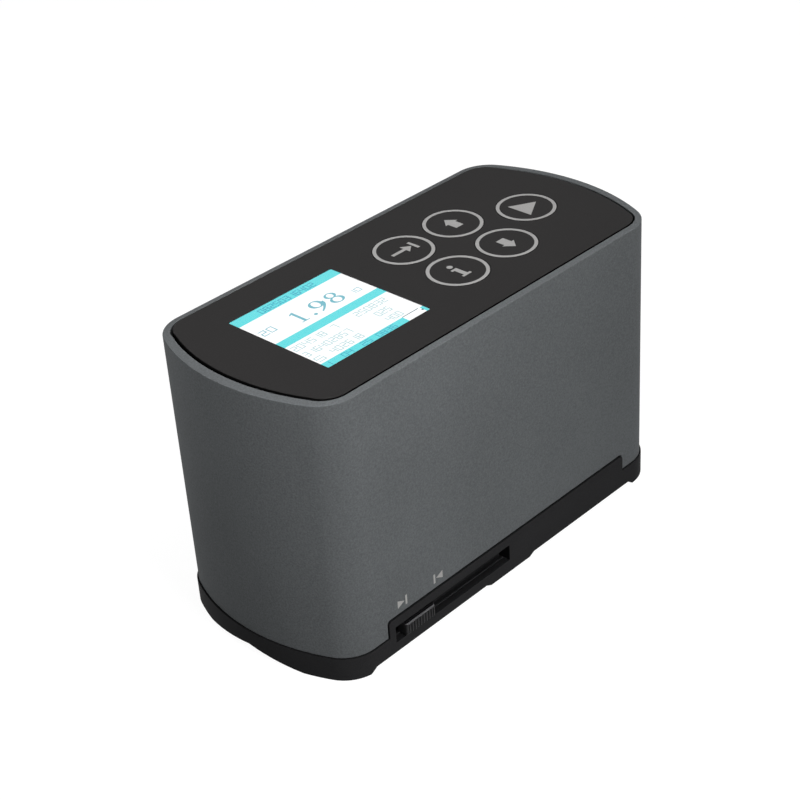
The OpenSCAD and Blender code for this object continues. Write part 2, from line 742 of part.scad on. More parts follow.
module lift_pin() color(steel) translate([pin_x, ramp_y, pickup_z]) rotate([-90, 0, 0])
    cylinder(d = pin_d, h = -ramp_y - tube_d / 2 + tube_wall);

module pickup_pivot() color(steel) bar_y(pivot_x, pickup_z, pivot_d, 2 * (fork_in + fork_t));

housing_sleeve();
top_panel();
display_window();
lcd_module();
display_gasket();
key(0);  // key_menu
key(1);  // key_info
key(2);  // key_up
key(3);  // key_down
key(4);  // key_start
key_switches();
main_board();
board_chips();
charge_socket();
board_screws();
battery_pack();
battery_clamp();
clamp_screws();
battery_lead();
motor_lead();
base();
base_screws();
guard_knob();
stylus_guard();
guard_rail();
drive_frame();
frame_screws();
guide_rods();
carriage();
drive_nut();
lead_screw();
screw_bushes();
screw_gear();
motor_gear();
drive_motor();
motor_screws();
pickup_tube();
skid_nose();
stylus_arm();
stylus_pivot();
lift_pin();
pickup_pivot();
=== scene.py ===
import math

import bmesh
import bpy
import numpy as np
from mathutils import Matrix, Vector
from mathutils.geometry import tessellate_polygon


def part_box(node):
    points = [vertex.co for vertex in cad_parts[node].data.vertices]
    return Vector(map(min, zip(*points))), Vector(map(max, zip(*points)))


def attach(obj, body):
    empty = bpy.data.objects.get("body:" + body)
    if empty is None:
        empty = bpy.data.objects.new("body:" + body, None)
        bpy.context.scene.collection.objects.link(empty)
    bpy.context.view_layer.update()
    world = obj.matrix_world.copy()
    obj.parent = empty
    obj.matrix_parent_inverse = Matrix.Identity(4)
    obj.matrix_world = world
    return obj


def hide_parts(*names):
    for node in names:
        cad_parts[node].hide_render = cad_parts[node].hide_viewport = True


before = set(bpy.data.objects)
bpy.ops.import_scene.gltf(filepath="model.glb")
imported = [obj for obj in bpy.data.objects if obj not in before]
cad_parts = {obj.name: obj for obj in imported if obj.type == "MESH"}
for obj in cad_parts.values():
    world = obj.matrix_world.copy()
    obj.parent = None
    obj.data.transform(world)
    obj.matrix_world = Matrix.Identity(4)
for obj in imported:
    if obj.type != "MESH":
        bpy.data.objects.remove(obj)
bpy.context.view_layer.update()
mm = 0.001


# Base: one black ABS moulding that the sleeve stands on, with end feet, a shallow vee
# underneath and a raised side wall with the guard's slot. Its edges leave the mould slightly round.
def linear(code, alpha=1.0):
    """sRGB hex colour to linear RGBA: c / 12.92 below 0.04045, else ((c + 0.055) / 1.055) ^ 2.4."""
    c = np.array([int(code[i:i + 2], 16) for i in (1, 3, 5)]) / 255
    rgb = np.where(c <= 0.04045, c / 12.92, ((c + 0.055) / 1.055) ** 2.4)
    return (*rgb.tolist(), alpha)


def add(tree, kind, settings=None, **links):
    """Adds one node. Settings are its properties or the values of its inputs, and links are the sockets
    that feed its inputs. An input goes by its identifier or by its name with underscores for spaces."""
    made = tree.nodes.new("ShaderNode" + kind)
    inputs = {s.name.replace(" ", "_"): s for s in reversed(made.inputs)}
    inputs.update({s.identifier.replace(" ", "_"): s for s in made.inputs})
    for name, value in (settings or {}).items():
        if name in inputs:
            inputs[name].default_value = value
        else:
            setattr(made, name, value)
    for name, source in links.items():
        tree.links.new(source, inputs[name])
    return made


def new_material(name):
    """Empty node material with its Principled shader and the piece's own coordinates."""
    mat = bpy.data.materials.new(name)
    mat.use_nodes = True
    tree = mat.node_tree
    tree.nodes.clear()
    shader = add(tree, "BsdfPrincipled")
    add(tree, "OutputMaterial", Surface=shader.outputs["BSDF"])
    coords = add(tree, "TexCoord").outputs["Object"]
    return mat, tree, shader, coords


def grained(name, dark, light, grain, rough, bump, patch=12 * mm, **constants):
    """Opaque finish: two close colours mixed by a fine grain and a soft patchiness, with roughness
    and bump from the same grain. grain and patch are sizes in metres, and constants go on the shader."""
    mat, tree, shader, coords = new_material(name)
    fine = add(tree, "TexNoise", {"Scale": 1 / grain, "Detail": 3.0, "Roughness": 0.6}, Vector=coords)
    broad = add(tree, "TexNoise", {"Scale": 1 / patch, "Detail": 2.0}, Vector=coords)
    both = add(tree, "Math", {"operation": "MULTIPLY_ADD", "Value_001": 0.35},
               Value=broad.outputs["Fac"], Value_002=fine.outputs["Fac"])
    level = add(tree, "MapRange", {"From_Min": 0.35, "From_Max": 0.95}, Value=both.outputs["Value"])
    tint = add(tree, "Mix", {"data_type": "RGBA", "A_Color": linear(dark), "B_Color": linear(light)},
               Factor_Float=level.outputs["Result"])
    sheen = add(tree, "MapRange", {"To_Min": rough[0], "To_Max": rough[1]}, Value=fine.outputs["Fac"])
    relief = add(tree, "Bump", {"Strength": bump, "Distance": 0.1 * mm}, Height=fine.outputs["Fac"])
    tree.links.new(tint.outputs[2], shader.inputs["Base Color"])
    tree.links.new(sheen.outputs["Result"], shader.inputs["Roughness"])
    tree.links.new(relief.outputs["Normal"], shader.inputs["Normal"])
    for socket, value in constants.items():
        shader.inputs[socket.replace("_", " ")].default_value = value
    return mat


def finish_piece(mesh, name, mat, body, slot, *nodes):
    """Makes the mesh an object of the scene on its CAD body, in place of those CAD nodes."""
    mesh.materials.clear()
    mesh.materials.append(mat)
    piece = bpy.data.objects.new(name, mesh)
    bpy.context.scene.collection.objects.link(piece)
    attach(piece, body)
    if nodes:
        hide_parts(*nodes)
    return piece


def eased_copy(node, ease, segments=2):
    """The node's solid with its triangles joined, its flat faces made whole and its sharp edges
    carried round by a bevel of that width, which leaves the shade of the flat faces alone."""
    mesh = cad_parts[node].data.copy()
    work = bmesh.new()
    work.from_mesh(mesh)
    bmesh.ops.remove_doubles(work, verts=work.verts, dist=0.002 * mm)
    bmesh.ops.dissolve_limit(work, angle_limit=math.radians(0.4), verts=work.verts, edges=work.edges)
    work.to_mesh(mesh)
    work.free()
    if "custom_normal" in mesh.attributes:
        mesh.attributes.remove(mesh.attributes["custom_normal"])
    mesh.shade_smooth()
    rough_piece = bpy.data.objects.new(node + "_draft", mesh)
    bpy.context.scene.collection.objects.link(rough_piece)
    bevel = rough_piece.modifiers.new("eased edges", "BEVEL")
    bevel.width = ease
    bevel.segments = segments
    bevel.limit_method = "ANGLE"
    bevel.angle_limit = math.radians(35)
    bevel.harden_normals = True
    graph = bpy.context.evaluated_depsgraph_get()
    eased = bpy.data.meshes.new_from_object(rough_piece.evaluated_get(graph))
    bpy.data.objects.remove(rough_piece)
    return eased


# A fine mould texture keeps the black dull, so that only its eased edges catch the light.
moulded_black = grained("moulded_black_abs", "#232324", "#2c2c2d", grain=0.25 * mm, rough=(0.5, 0.62),
                        bump=0.12, Specular_IOR_Level=0.01)


def also(piece, mat, chosen):
    """Gives the piece's faces for which chosen(middles, normals) holds one more material."""
    count = len(piece.data.polygons)
    middles = np.empty(count * 3)
    normals = np.empty(count * 3)
    index = np.empty(count, np.int32)
    piece.data.polygons.foreach_get("center", middles)
    piece.data.polygons.foreach_get("normal", normals)
    piece.data.polygons.foreach_get("material_index", index)
    piece.data.materials.append(mat)
    index[chosen(middles.reshape(-1, 3), normals.reshape(-1, 3))] = len(piece.data.materials) - 1
    piece.data.polygons.foreach_set("material_index", index)


base_ease = 0.18 * mm
base_piece = finish_piece(eased_copy("base", base_ease), "base_moulding", moulded_black, "housing",
                          "base_black", "base")
slot_low = np.array([-36.2, -24.1, 1.2]) * mm
slot_high = np.array([2.0, -16.0, 8.5]) * mm
# Painted shade: a darker black, so the slot and the joint under the sleeve read as dark lines.
slot_painted_shade = grained("greased_black_abs", "#171718", "#1e1e1f", grain=0.3 * mm, rough=(0.5, 0.6),
                     bump=0.08, Specular_IOR_Level=0.01)
ledge_z = 4.8 * mm


def unlit(at, n):
    """Faces of the slot but for its eased edges, and the level ledges under the sleeve's lower edge."""
    in_slot = ((at > slot_low) & (at < slot_high)).all(axis=1) & (np.abs(np.abs(n[:, 2]) - 0.6) > 0.38)
    return in_slot | ((n[:, 2] > 0.7) & (at[:, 2] > ledge_z))


also(base_piece, slot_painted_shade, unlit)


# Guard knob: a small ribbed slider of black acetal, moulded in one piece. The ribs stand across the
# thumb's way under a lip, and a taller neck behind it snaps onto the guard inside the side wall.
def grid_faces(rows, cols, wrap_rows=False, wrap_cols=False):
    """Quads of a rows x cols grid of points. A wrapped direction joins its last line to its first."""
    r = np.arange(rows if wrap_rows else rows - 1)
    c = np.arange(cols if wrap_cols else cols - 1)
    a, b = np.meshgrid(r, c, indexing="ij")
    a1 = (a + 1) % rows
    b1 = (b + 1) % cols
    return np.stack([a * cols + b, a * cols + b1, a1 * cols + b1, a1 * cols + b], -1).reshape(-1, 4)


def capped_tube(points):
    """Patch of a closed section carried along its stations, with both ends filled."""
    stations, places = points.shape[:2]
    ends = np.arange(stations * places).reshape(stations, places)[[0, -1]]
    return points, grid_faces(stations, places, wrap_cols=True).tolist() + ends.tolist()


def mesh_of(name, *patches, weld=False):
    """One mesh from patches of (points, faces), with the faces turned outwards. Weld joins the points
    that meet. The shade is round but for sharp edges and for level faces, which stay flat."""
    points = []
    faces = []
    for patch_points, patch_faces in patches:
        start = sum(len(p) for p in points)
        points.append(np.asarray(patch_points, float).reshape(-1, 3))
        faces += [[start + i for i in face] for face in patch_faces]
    mesh = bpy.data.meshes.new(name)
    mesh.from_pydata(np.concatenate(points).tolist(), [], faces)
    work = bmesh.new()
    work.from_mesh(mesh)
    if weld:
        bmesh.ops.remove_doubles(work, verts=work.verts, dist=0.001 * mm)
    bmesh.ops.recalc_face_normals(work, faces=work.faces)
    work.to_mesh(mesh)
    work.free()
    mesh.shade_smooth()
    mesh.set_sharp_from_angle(angle=math.radians(32))
    normals = np.empty(len(mesh.polygons) * 3)
    mesh.polygons.foreach_get("normal", normals)
    mesh.polygons.foreach_set("use_smooth", np.abs(normals[2::3]) < 0.9999)
    return mesh


def corner_arc(centre, radius, start, stop, count):
    """Points of an arc in the plane: centre + radius (cos t, sin t), t from start to stop in degrees."""
    t = np.radians(np.linspace(start, stop, count))
    return np.stack([centre[0] + radius * np.cos(t), centre[1] + radius * np.sin(t)], -1)


knob_low, knob_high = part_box("guard_knob")
knob_ribs = 9
rib_depth = 0.3 * mm
knob_round = 0.4 * mm
rib_run = 0.5 * mm
knob_lip = 0.3 * mm
lip_round = 0.2 * mm
rib_stop = 0.02 * mm
neck_back = 0.4 * mm
neck_rise = 0.6 * mm
lip_z = knob_high.z - neck_rise
# The section is carried along X. Its front sinks by a clipped cosine between the ribs, and both ends
# of the knob drop back on a quarter circle.
knob_x = np.linspace(knob_low.x, knob_high.x, knob_ribs * 16 + 1)
rib_phase = (knob_x - knob_low.x - rib_run) / (knob_high.x - knob_low.x - 2 * rib_run) * knob_ribs
rib_wave = np.clip(0.5 - 1.6 * np.cos(2 * np.pi * rib_phase), 0, 1)
groove = rib_depth * np.where((rib_phase > 0) & (rib_phase < knob_ribs), 1 - rib_wave, 0)
to_end = np.minimum(knob_x - knob_low.x, knob_high.x - knob_x)
past_end = np.clip(knob_round - to_end, 0, None)
end_drop = knob_round - np.sqrt(np.clip(knob_round ** 2 - past_end ** 2, 0, None))
section = np.concatenate([
    [[knob_high.y, knob_low.z]],
    corner_arc((knob_low.y + knob_round, knob_low.z + knob_round), knob_round, 270, 180, 6),
    [[knob_low.y, lip_z - knob_lip - rib_stop], [knob_low.y, lip_z - knob_lip]],
    corner_arc((knob_low.y + lip_round, lip_z - lip_round), lip_round, 180, 90, 6),
    [[knob_low.y + neck_back, lip_z], [knob_low.y + neck_back, knob_high.z], [knob_high.y, knob_high.z]]])
front = np.clip((knob_high.y - section[:, 0]) / (knob_high.y - knob_low.y), 0, 1) ** 3
below_lip = section[:, 1] < lip_z - knob_lip
knob_points = np.empty((len(knob_x), len(section), 3))
knob_points[..., 0] = knob_x[:, None]
knob_points[..., 1] = section[:, 0] + front * (groove[:, None] * below_lip + end_drop[:, None])
knob_points[..., 2] = section[:, 1]
knob_mesh = mesh_of("guard_knob_ribbed", capped_tube(knob_points))
# Smoother than the base, so that the ribs show as fine lines of light.
acetal_black = grained("moulded_black_acetal", "#29292a", "#353536", grain=0.2 * mm, rough=(0.35, 0.48),
                       bump=0.08, Specular_IOR_Level=0.05)
knob_piece = finish_piece(knob_mesh, "guard_knob_ribbed", acetal_black, "guard", "guard_black",
                          "guard_knob")
# Painted highlight: a lighter black on the lip's upward faces, which shows as one light line over the
# ribs.
lip_painted_highlight = grained("rubbed_black_acetal", "#4e4e50", "#59595b", grain=0.2 * mm, rough=(0.3, 0.4),
                        bump=0.05, Specular_IOR_Level=0.1)
also(knob_piece, lip_painted_highlight, lambda at, n: (n[:, 2] > 0.4) & (np.abs(at[:, 2] - lip_z) < lip_round))
# Painted shade: the neck behind the lip is near black.
neck_painted_shade = grained("greased_black_acetal", "#080809", "#0e0e0f", grain=0.2 * mm, rough=(0.5, 0.6),
                         bump=0.05, Specular_IOR_Level=0.01)
also(knob_piece, neck_painted_shade, lambda at, n: at[:, 2] > lip_z + 0.01 * mm)

# The knob runs on a half-round bead, moulded along the inner edge of the slot's floor.
bead_x = np.array([-35.6, -1.4]) * mm
bead_y = -22.55 * mm
slot_floor_z = 3.4 * mm
bead_r = 0.17 * mm
bead_profile = corner_arc((bead_y, slot_floor_z), bead_r, 0, 180, 9)
bead_points = np.empty((len(bead_x), len(bead_profile), 3))
bead_points[..., 0] = bead_x[:, None]
bead_points[..., 1:] = bead_profile
bead_mesh = mesh_of("slot_bead", capped_tube(bead_points))
finish_piece(bead_mesh, "slot_bead", moulded_black, "housing", "base_black")


# Inside of the tester: the drive unit, the pickup, the circuit board and the battery keep the
# shapes of their solids. Each takes the finish of its stock: turned steel, brass, milled plate.
def dress(mat, *nodes):
    """Gives the CAD nodes that material."""
    for node in nodes:
        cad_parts[node].data.materials.clear()
        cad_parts[node].data.materials.append(mat)


# Steel off the lathe has a cool white shine with fine tool marks.
turned_steel = grained("turned_steel", "#a9abad", "#bfc1c3", grain=0.15 * mm, rough=(0.25, 0.38),
                       bump=0.05, Metallic=1.0)
dress(turned_steel, "key_switches", "charge_socket", "board_screws", "battery_clamp", "clamp_screws",
      "base_screws", "frame_screws", "guide_rods", "lead_screw", "motor_gear", "motor_screws",
      "pickup_tube", "skid_nose", "stylus_arm", "stylus_pivot", "lift_pin", "pickup_pivot")
# Blacking in oil leaves a dark skin with a slight gloss.
blackened_steel = grained("blackened_steel", "#38383b", "#48484b", grain=0.2 * mm, rough=(0.3, 0.42),
                          bump=0.05, Specular_IOR_Level=0.45)
dress(blackened_steel, "guard_rail")
# Nickel over a drawn can shines softer and darker than turned steel.
motor_steel = grained("plated_motor_case", "#8f9194", "#a3a5a8", grain=0.4 * mm, rough=(0.3, 0.42),
                      bump=0.04, Metallic=1.0)
dress(motor_steel, "drive_motor")
# Brass off the lathe is a warm yellow with the same fine marks.
turned_brass = grained("turned_brass", "#b28a45", "#c9a35c", grain=0.15 * mm, rough=(0.25, 0.4),
                       bump=0.05, Metallic=1.0)
dress(turned_brass, "drive_nut", "screw_bushes", "screw_gear")
# The cutter's marks scatter the light into a pale, even grey.
milled_plate = grained("milled_aluminium", "#9c9ea0", "#b4b6b8", grain=0.3 * mm, rough=(0.3, 0.45),
                       bump=0.08, Metallic=1.0)
dress(milled_plate, "drive_frame")
dress(acetal_black, "carriage", "stylus_guard")
# Lacquer over copper and glass cloth gives a deep, glossy green.
solder_mask = grained("green_solder_mask", "#0f4a2c", "#17603a", grain=0.5 * mm, rough=(0.25, 0.4),
                      bump=0.05)
dress(solder_mask, "main_board")
# Moulded epoxy is dull and almost black.
chip_resin = grained("black_chip_resin", "#1a1a1b", "#232325", grain=0.2 * mm, rough=(0.5, 0.65),
                     bump=0.08)
dress(chip_resin, "board_chips")
# A film shrunk over the cells is a smooth blue with slow ripples.
shrink_wrap = grained("blue_shrink_wrap", "#1d3d7a", "#27498a", grain=1.5 * mm, rough=(0.25, 0.4),
                      bump=0.1)
dress(shrink_wrap, "battery_pack")
# Extruded silicone is a plain red with a soft sheen.
lead_skin = grained("red_wire_insulation", "#8c1512", "#a01d18", grain=0.4 * mm, rough=(0.4, 0.5),
                    bump=0.04)
dress(lead_skin, "battery_lead", "motor_lead")
# Open pores take up the light, so the foam is black and grainy.
gasket_foam = grained("black_gasket_foam", "#161616", "#2a2a2a", grain=0.4 * mm, rough=(0.8, 0.95),
                      bump=0.5)
dress(gasket_foam, "display_gasket")


# Housing sleeve: an aluminium extrusion cut to length, bead-blasted and anodised dark grey. The
# cutter leaves a small radius on the rim and on the notch, and the charging socket has its window.
sleeve_low, sleeve_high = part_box("housing_sleeve")
panel_low, panel_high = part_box("top_panel")
socket_low, socket_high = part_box("charge_socket")
half_l = -sleeve_low.x
half_w = sleeve_high.y
seam_z = sleeve_low.z
rim_z = sleeve_high.z
end_bulge = 6.8 * mm
corner_r = 8 * mm
wall_end = 1.95 * mm
wall_side = 1.4 * mm
arc_r = (half_w ** 2 + end_bulge ** 2) / (2 * end_bulge)
arc_x = half_l - arc_r
corner_y = half_w - corner_r
corner_x = arc_x + math.sqrt((arc_r - corner_r) ** 2 - corner_y ** 2)
corner_deg = math.degrees(math.atan2(corner_y, corner_x - arc_x))


def plan_outline(near_x, far_x, end_deg):
    """Outline of the body seen from above, counter-clockwise from the near side: flat sides at the given
    stations, end arcs at the given angles and tangent corner arcs. Gives points and outward normals."""
    turn = np.linspace(corner_deg, 90, 15)
    sides = np.concatenate([
        np.full(len(near_x), -90.0), -turn[::-1][1:], end_deg[1:-1], turn[:-1],
        np.full(len(far_x), 90.0), 180 - turn[::-1][1:], 180 + end_deg[1:-1], 180 + turn[:-1]])
    normal = np.stack([np.cos(np.radians(sides)), np.sin(np.radians(sides))], -1)
    n_near, n_turn, n_end, n_far = len(near_x), len(turn) - 1, len(end_deg) - 2, len(far_x)
    counts = [n_near, n_turn, n_end, n_turn, n_far, n_turn, n_end, n_turn]
    centres = [(0, 0), (corner_x, -corner_y), (arc_x, 0), (corner_x, corner_y),
               (0, 0), (-corner_x, corner_y), (-arc_x, 0), (-corner_x, -corner_y)]
    radii = [half_w, corner_r, arc_r, corner_r, half_w, corner_r, arc_r, corner_r]
    centre = np.repeat(np.array(centres, float), counts, axis=0)
    radius = np.repeat(np.array(radii), counts)
    points = centre + normal * radius[:, None]
    points[:n_near, 0] = near_x
    points[n_near + n_turn + n_end + n_turn:][:n_far, 0] = far_x
    return points, normal


def rim_wall(normal):
    """Width of the extrusion's wall: wide where it faces along the body, narrower at the long sides."""
    return wall_side + (wall_end - wall_side) * normal[:, 0] ** 6


hold = 0.4 * mm
notch_half = 37.6 * mm
notch_top = 9.4 * mm
notch_r = 0.9 * mm
edge_ease = 0.15 * mm
rim_r = 0.12 * mm
rim_inner_r = 0.08 * mm
rim_fall = 0.2 * mm
hole_half = 4.5 * mm
hole_gap = 0.6 * mm
hole_low = socket_low.z - hole_gap
hole_high = socket_high.z + hole_gap

notch_turn = np.linspace(0, 90, 9)
notch_side_x = -notch_half + notch_r * (1 - np.cos(np.radians(notch_turn)))
notch_side_z = notch_top - notch_r * (1 - np.sin(np.radians(notch_turn)))
left_x = np.concatenate([[-corner_x, -corner_x + hold, -notch_half - hold, -notch_half], notch_side_x])
left_z = np.concatenate([np.full(4, seam_z), notch_side_z])
near_x = np.concatenate([left_x, -left_x[::-1]])
near_z = np.concatenate([left_z, left_z[::-1]])
far_x = np.array([corner_x, corner_x - hold, hold - corner_x, -corner_x])
hole_deg = math.degrees(math.asin(hole_half / arc_r))
end_deg = np.concatenate([np.linspace(-corner_deg, -hole_deg, 22),
                          np.linspace(-hole_deg, hole_deg, 9)[1:-1],
                          np.linspace(hole_deg, corner_deg, 22)])
outline, outward = plan_outline(near_x, far_x, end_deg)
bottom_z = np.full(len(outline), seam_z)
bottom_z[:len(near_z)] = near_z

# Each row of the wall's section is a share of its width, an offset inwards and a height.
quarter = np.radians(np.linspace(0, 90, 5))
outer_round = np.stack([0 * quarter, rim_r * (1 - np.cos(quarter)),
                        rim_z - rim_fall - rim_r * (1 - np.sin(quarter))], -1)
inner_round = np.stack([1 + 0 * quarter, -rim_inner_r * (1 - np.cos(quarter)),
                        rim_z - rim_inner_r * (1 - np.sin(quarter))], -1)[::-1]
upper_rows = np.concatenate([
    [[0, 0, hole_low], [0, 0, hole_high], [0, 0, rim_z - rim_fall - rim_r - hold]], outer_round,
    [[0.15, 0, rim_z - 0.85 * rim_fall], [0.85, 0, rim_z - 0.15 * rim_fall]], inner_round,
    [[1, 0, rim_z - rim_inner_r - hold], [1, 0, hole_high], [1, 0, hole_low]]])
foot_rows = np.array([[0, edge_ease, 0], [0, 0, edge_ease], [0, 0, edge_ease + hold]])
foot_inside = foot_rows[::-1] * [1, -1, 1] + [1, 0, 0]
section_rows = np.concatenate([foot_rows, upper_rows, foot_inside])
inset = section_rows[:, 0] * rim_wall(outward)[:, None] + section_rows[:, 1]
heights = np.concatenate([
    bottom_z[:, None] + foot_rows[:, 2],
    np.broadcast_to(upper_rows[:, 2], (len(outline), len(upper_rows))),
    bottom_z[:, None] + foot_inside[:, 2]], axis=1)
sleeve_points = np.empty((*inset.shape, 3))
sleeve_points[..., :2] = outline[:, None] - outward[:, None] * inset[..., None]
sleeve_points[..., 2] = heights
sleeve_faces = grid_faces(*sleeve_points.shape[:2], wrap_rows=True, wrap_cols=True)

rows = len(section_rows)
out_low = len(foot_rows)
in_high = rows - len(foot_rows) - 2
hole_cols = np.where((outward[:, 0] > 0.5) & (np.abs(outline[:, 1]) < hole_half * 1.001))[0]
first_col, last_col = hole_cols.min(), hole_cols.max()
face_col, face_row = sleeve_faces[:, 0] // rows, sleeve_faces[:, 0] % rows
in_hole = (face_col >= first_col) & (face_col < last_col) & ((face_row == out_low) | (face_row == in_high))
reveal_cols = np.arange(first_col, last_col)
reveals = [np.stack([reveal_cols * rows + a, (reveal_cols + 1) * rows + a,
                     (reveal_cols + 1) * rows + b, reveal_cols * rows + b], -1)
           for a, b in ((out_low, in_high + 1), (out_low + 1, in_high))]
jambs = np.array([[c * rows + out_low, c * rows + out_low + 1, c * rows + in_high, c * rows + in_high + 1]
                  for c in (first_col, last_col)])
sleeve_faces = np.concatenate([sleeve_faces[~in_hole], *reveals, jambs])


def lathe(profile, centre, count=48):
    """Profile of (radius, height) carried once round an upright axis at that centre."""
    t = np.linspace(0, 2 * np.pi, count, endpoint=False)
    points = np.empty((count, len(profile), 3))
    points[..., 0] = centre[0] + np.cos(t)[:, None] * profile[:, 0]
    points[..., 1] = centre[1] + np.sin(t)[:, None] * profile[:, 0]
    points[..., 2] = profile[:, 1]
    return points


def at_corners(profile, x, y, count=32):
    """Closed turned pieces of that profile at the four corners (x, y), (x, -y), (-x, y) and (-x, -y)."""
    faces = grid_faces(count, len(profile), True, True).tolist()
    return [(lathe(profile, (sx * x, sy * y), count), faces) for sx in (-1, 1) for sy in (-1, 1)]


panel_t = 1.6 * mm
boss_low = 7 * mm
boss_high = panel_high.z - panel_t
boss_r = 3.2 * mm
boss_bore = 1.5 * mm
boss_x = 40.5 * mm
boss_y = 19.3 * mm
boss_profile = np.array([[boss_bore, boss_low], [boss_r, boss_low], [boss_r, boss_high],
                         [boss_bore, boss_high]])
bosses = at_corners(boss_profile, boss_x, boss_y)
# Blasting leaves a matt, evenly speckled grey with no clear reflection, a little brighter on the rim.
blasted_grey = grained("blasted_anodised_aluminium", "#4e5051", "#65686a", grain=0.36 * mm,
                       rough=(0.55, 0.68), bump=0.3, patch=30 * mm, Metallic=0.1, Specular_IOR_Level=0.015)
finish_piece(mesh_of("sleeve_extrusion", (sleeve_points, sleeve_faces.tolist()), *bosses),
             "sleeve_extrusion", blasted_grey, "housing", "anodised_sleeve", "housing_sleeve")


# Guard marks: two pairs of a triangle and a bar, pad-printed in light grey on the sleeve above
# the slot. They show the way the knob goes, and the ink stands a hair proud of the blasted face.
def slab(shapes, low, high):
    """Flat plates between two heights. Each shape is a list of closed loops, the outer one first and
    then its holes: both faces are filled, and every loop gets an upright wall."""
    patches = []
    for loops in shapes:
        flat = np.concatenate(loops)
        count = len(flat)
        points = np.concatenate([np.column_stack([flat, np.full(count, z)]) for z in (low, high)])
        fill = np.array(tessellate_polygon([[Vector((*p, 0)) for p in loop] for loop in loops]))
        start = np.cumsum([0] + [len(loop) for loop in loops])
        walls = [np.stack([a, b, b + count, a + count], -1)
                 for a, b in ((s + np.arange(n), s + (np.arange(n) + 1) % n)
                              for s, n in zip(start[:-1], [len(loop) for loop in loops]))]
        patches.append((points, fill.tolist() + (fill + count).tolist() + np.concatenate(walls).tolist()))
    return patches


def bar(x0, y0, x1, y1):
    """Loop of a rectangle."""
    return np.array([[x0, y0], [x1, y0], [x1, y1], [x0, y1]])


mark_z = 11.75 * mm
mark_h = 1.1 * mm
ink_t = 0.02 * mm
guard_marks = [
    [np.array([[-34.4, -0.9], [-32.5, 0.0], [-34.4, 0.9]]) * mm],
    [bar(-32.2 * mm, -mark_h, -31.7 * mm, mark_h)],
    [bar(-23.95 * mm, -mark_h, -23.45 * mm, mark_h)],
    [np.array([[-23.2, 0.0], [-21.3, -0.9], [-21.3, 0.9]]) * mm]]
mark_patches = [(np.stack([p[:, 0], -half_w - p[:, 2], mark_z + p[:, 1]], -1), f)
                for p, f in slab(guard_marks, -ink_t, ink_t)]
# Flat ink with a slight mottle, much lighter than the face under it.
print_grey = grained("light_grey_print", "#92918f", "#a3a2a0", grain=0.2 * mm, rough=(0.5, 0.65),
                     bump=0.05, Specular_IOR_Level=0.05)
mark_mesh = mesh_of("guard_marks", *mark_patches)
finish_piece(mark_mesh, "guard_marks", print_grey, "housing", "anodised_sleeve")


# Top panel: a satin black acrylic plate, cut with a small edge radius and laid in the sleeve, a
# hair above its rim with a dark joint all round. It has the display's opening and five key holes,
# and four posts under it carry the circuit board.
def round_bar(x0, y0, x1, y1, radius):
    """Loop of a rectangle with round corners."""
    return np.concatenate([
        corner_arc((x1 - radius, y0 + radius), radius, -90, 0, 6),
        corner_arc((x1 - radius, y1 - radius), radius, 0, 90, 6),
        corner_arc((x0 + radius, y1 - radius), radius, 90, 180, 6),
        corner_arc((x0 + radius, y0 + radius), radius, 180, 270, 6)])


def ring(centre, radius, count=96):
    """Loop of a circle."""
    return corner_arc(centre, radius, 0, 360 - 360 / count, count)


def loop_normals(loop):
    """Outward normals of a counter-clockwise loop, from the chord between each point's neighbours."""
    chord = np.roll(loop, -1, axis=0) - np.roll(loop, 1, axis=0)
    return np.stack([chord[:, 1], -chord[:, 0]], -1) / np.linalg.norm(chord, axis=1, keepdims=True)


def plate(loops, low, high, ease):
    """Flat plate with a rounded upper edge: every loop, the rim first and then the holes, carries the
    profile up the wall and round a quarter circle of that radius, and the two faces are filled."""
    t = np.radians(np.linspace(0, 90, 5))
    back = np.concatenate([[0.0], ease * (1 - np.cos(t))])
    up = np.concatenate([[low], high - ease * (1 - np.sin(t))])
    patches = []
    tops = []
    foot = []
    for i, loop in enumerate(loops):
        normal = loop_normals(loop) * (1 if i == 0 else -1)
        points = np.empty((len(loop), len(back), 3))
        points[..., :2] = loop[:, None] - normal[:, None] * back[:, None]
        points[..., 2] = up
        patches.append((points, grid_faces(len(loop), len(back), wrap_rows=True).tolist()))
        tops.append(points[:, -1])
        foot.append(points[:, 0])
    for level in (tops, foot):
        fill = tessellate_polygon([[Vector((p[0], p[1], 0)) for p in loop] for loop in level])
        patches.append((np.concatenate(level), [list(f) for f in fill]))
    return patches


gap_side = 0.33 * mm
gap_end = 0.7 * mm
panel_ease = 0.15 * mm
window_low, window_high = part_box("display_window")
window_r = 0.25 * mm
key_nodes = {"key_menu": "menu_key", "key_info": "info_key", "key_up": "up_key", "key_down": "down_key",
             "key_start": "start_key"}
key_boxes = {node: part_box(node) for node in key_nodes}
key_middles = {node: ((low.x + high.x) / 2, (low.y + high.y) / 2)
               for node, (low, high) in key_boxes.items()}
key_hole_r = 6.6 * mm
side_x = np.linspace(-corner_x, corner_x, 3)
panel_rim, panel_out = plan_outline(side_x, side_x[::-1], np.linspace(-corner_deg, corner_deg, 41))
joint_line = gap_side + (gap_end - gap_side) * panel_out[:, 0] ** 2
panel_loops = [panel_rim - panel_out * (rim_wall(panel_out) + joint_line)[:, None],
               round_bar(window_low.x, window_low.y, window_high.x, window_high.y, window_r),
               *(ring(middle, key_hole_r) for middle in key_middles.values())]
panel_patches = plate(panel_loops, panel_high.z - panel_t, panel_high.z, panel_ease)
post_bore = 0.95 * mm
post_r = 2.1 * mm
post_high = panel_low.z + 3.5 * mm
post_x = 30 * mm
post_y = 18.5 * mm
post_profile = np.array([[post_bore, panel_low.z], [post_r, panel_low.z], [post_r, post_high],
                         [post_bore, post_high]])
posts = at_corners(post_profile, post_x, post_y)
